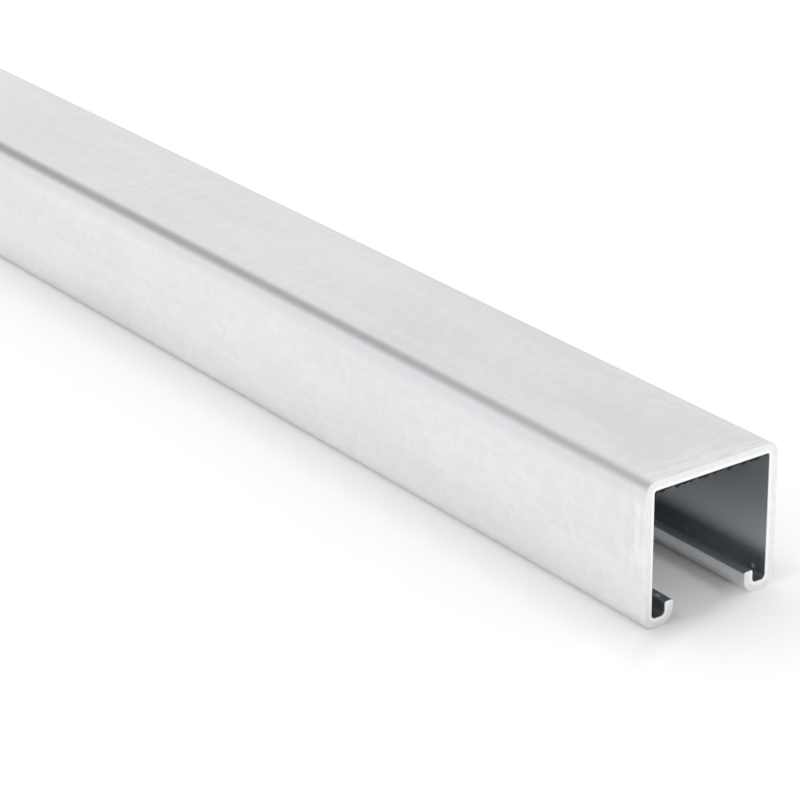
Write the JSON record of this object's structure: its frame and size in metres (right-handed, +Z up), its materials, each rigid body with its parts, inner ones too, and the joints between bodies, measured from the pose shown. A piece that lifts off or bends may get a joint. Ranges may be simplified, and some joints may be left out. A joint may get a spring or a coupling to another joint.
{
  "type": "galvanized steel channel",
  "caption": "Plain box channel roll-formed from galvanized strip, open along a slot between two inward-hooked lips; length of raw stock.",
  "frame": {"origin": "under the middle of the stock, centred between the walls, on the plane of the lips' feet", "axes": "+X along the stock, +Y across it from wall to wall, +Z up out of the back; the slot faces -Z"},
  "size_m": [1, 0.041, 0.0386],
  "materials": {
    "galvanized_steel": "satin"
  },
  "bodies": {
    "root": {"channel": "galvanized_steel"}
  },
  "joints": []
}
